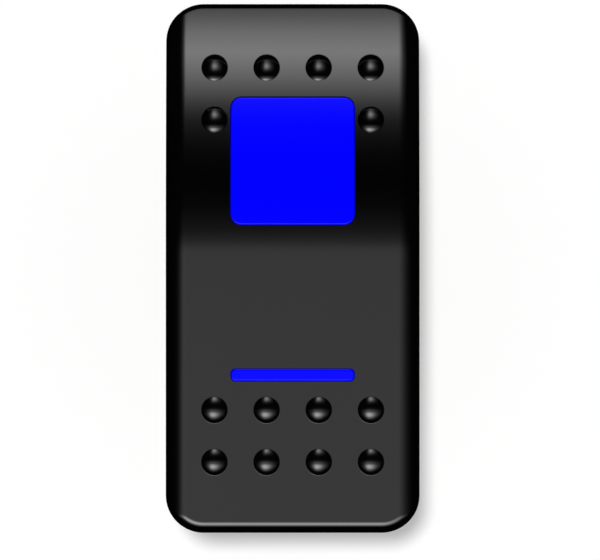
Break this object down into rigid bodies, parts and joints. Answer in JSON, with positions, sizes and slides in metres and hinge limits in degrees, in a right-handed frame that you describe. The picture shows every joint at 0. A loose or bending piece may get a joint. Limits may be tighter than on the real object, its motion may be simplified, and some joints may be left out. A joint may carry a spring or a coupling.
{
  "type": "panel rocker switch",
  "caption": "Sealed panel rocker switch with a curved black rocker, raised grip nubs, a square and a bar-shaped blue lens, panel wings and blade terminals.",
  "frame": {"origin": "middle of the panel cut-out, in the plane of the panel's front face, which is the underside of the panel gasket", "axes": "+Z out of the panel towards the operator, +Y along the rocker towards its upper end, +X across the rocker to the right as the operator sees it"},
  "size_m": [0.0242, 0.0502, 0.0479],
  "materials": {
    "cap_plastic": "satin black moulded plastic with glossy nubs",
    "blue_lens": "lit blue lens",
    "saddle_plastic": "matt moulded plastic",
    "steel": "ground",
    "spring_steel": "drawn wire",
    "plunger_plastic": "natural plastic",
    "housing_plastic": "black moulded plastic",
    "base_plastic": "glass-filled moulded plastic",
    "gasket_rubber": "moulded rubber",
    "clear_plastic": "clear",
    "lamp_resin": "clear resin",
    "resistor_coat": "lacquered",
    "copper": "rolled",
    "silver": "turned",
    "terminal_metal": "rolled strip",
    "tinned_wire": "tinned"
  },
  "bodies": {
    "housing": {"bezel_housing": "housing_plastic", "panel_gasket": "gasket_rubber", "drum_seal": "gasket_rubber", "seal_retainer": "housing_plastic", "upper_light_guide": "clear_plastic", "lower_light_guide": "clear_plastic", "upper_lamp": "lamp_resin", "lower_lamp": "lamp_resin", "upper_lamp_feed_lead": "tinned_wire", "upper_lamp_return_lead": "tinned_wire", "lower_lamp_feed_lead": "tinned_wire", "lower_lamp_return_lead": "tinned_wire", "upper_resistor": "resistor_coat", "lower_resistor": "resistor_coat", "left_upper_fixed_contact": "silver", "left_lower_fixed_contact": "silver", "right_upper_fixed_contact": "silver", "right_lower_fixed_contact": "silver", "terminal_base": "base_plastic", "base_seal": "gasket_rubber", "terminal_1": "terminal_metal", "terminal_2": "terminal_metal", "terminal_3": "terminal_metal", "terminal_4": "terminal_metal", "terminal_5": "terminal_metal", "terminal_6": "terminal_metal", "terminal_7": "terminal_metal", "terminal_8": "terminal_metal"},
    "rocker": {"rocker_cap": "cap_plastic", "main_lens": "blue_lens", "bar_lens": "blue_lens", "saddle": "saddle_plastic", "pivot_pin": "steel", "left_spring": "spring_steel", "right_spring": "spring_steel"},
    "left_plunger": {"left_plunger": "plunger_plastic"},
    "right_plunger": {"right_plunger": "plunger_plastic"},
    "left_blade": {"left_contact_blade": "copper", "left_upper_moving_contact": "silver", "left_lower_moving_contact": "silver"},
    "right_blade": {"right_contact_blade": "copper", "right_upper_moving_contact": "silver", "right_lower_moving_contact": "silver"}
  },
  "joints": [
    {"name": "rocker_tilt", "type": "hinge", "parent": "housing", "child": "rocker", "pos_m": [0, 0, 0.005], "axis": [1, 0, 0], "range_deg": [0, 16]},
    {"name": "left_blade_tilt", "type": "hinge", "parent": "housing", "child": "left_blade", "pos_m": [-0.0046, 0, -0.01355], "axis": [1, 0, 0], "range_deg": [-12, 0]},
    {"name": "left_plunger_slide", "type": "slide", "parent": "rocker", "child": "left_plunger", "axis": [0, 0.1392, 0.9903], "range_m": [0, 0.0008], "stiffness_N_per_m": 500, "springref_m": -0.002, "deforming": ["left_spring"]},
    {"name": "right_blade_tilt", "type": "hinge", "parent": "housing", "child": "right_blade", "pos_m": [0.0046, 0, -0.01355], "axis": [1, 0, 0], "range_deg": [-12, 0]},
    {"name": "right_plunger_slide", "type": "slide", "parent": "rocker", "child": "right_plunger", "axis": [0, 0.1392, 0.9903], "range_m": [0, 0.0008], "stiffness_N_per_m": 500, "springref_m": -0.002, "deforming": ["right_spring"]}
  ],
  "couplings": [
    {"joint": "left_blade_tilt", "follows": "rocker_tilt", "ratio": -0.75},
    {"joint": "right_blade_tilt", "follows": "rocker_tilt", "ratio": -0.75}
  ]
}
